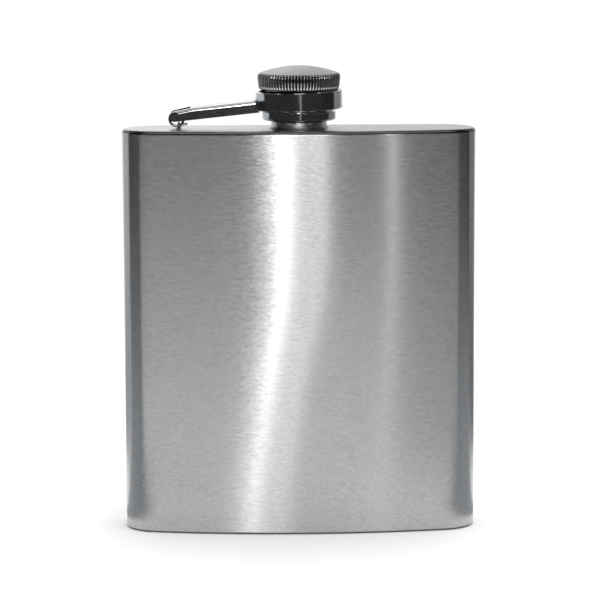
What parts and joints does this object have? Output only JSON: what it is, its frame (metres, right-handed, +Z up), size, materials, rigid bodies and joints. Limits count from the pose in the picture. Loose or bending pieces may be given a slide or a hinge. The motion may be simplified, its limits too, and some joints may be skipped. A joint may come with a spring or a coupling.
{
  "type": "hip flask",
  "caption": "Flat stainless steel hip flask with a bowed front, a knurled screw cap and a hinged arm whose collar keeps the cap on the bottle.",
  "frame": {"origin": "middle of the footprint on the underside of the base plate, where the flask stands", "axes": "+Z up through the neck, +X along the wide side away from the hinge, +Y to the flat back, bowed front faces -Y"},
  "size_m": [0.094, 0.023, 0.1243],
  "materials": {
    "brushed_sheet": "stainless sheet and its flush ground seams, brushed sideways",
    "plate_steel": "pressed stainless plate, satin top, polished edge, brushed skirt",
    "weld_steel": "small stainless weld, left as welded",
    "polished_steel": "mirror polished stainless",
    "satin_steel": "satin turned dome, bright knurled rim",
    "wire_steel": "drawn stainless wire",
    "seal_plastic": "soft white sealing disc"
  },
  "bodies": {
    "flask": {"body_wall": "brushed_sheet", "back_seam_weld": "brushed_sheet", "base_plate": "plate_steel", "base_weld_bead": "brushed_sheet", "shoulder_plate": "plate_steel", "shoulder_weld_bead": "brushed_sheet", "neck_spout": "polished_steel", "neck_weld": "weld_steel", "hinge_staple": "wire_steel", "staple_welds": "weld_steel"},
    "link": {"link_ring": "wire_steel"},
    "arm": {"captive_arm": "polished_steel", "hinge_pin": "wire_steel"},
    "cap": {"cap_head": "satin_steel", "cap_sleeve": "polished_steel", "cap_retaining_ring": "polished_steel", "cap_seal": "seal_plastic"}
  },
  "joints": [
    {"name": "link_swing", "type": "hinge", "parent": "flask", "child": "link", "pos_m": [-0.03177, 0, 0.10934], "axis": [0, -1, 0], "range_deg": [0, 20]},
    {"name": "arm_swing", "type": "hinge", "parent": "link", "child": "arm", "pos_m": [-0.03285, 0, 0.1112], "axis": [0, -1, 0], "range_deg": [0, 150]},
    {"name": "cap_turn", "type": "hinge", "parent": "arm", "child": "cap", "pos_m": [0, 0, 0.1204], "axis": [0, 0, 1], "continuous": true}
  ]
}
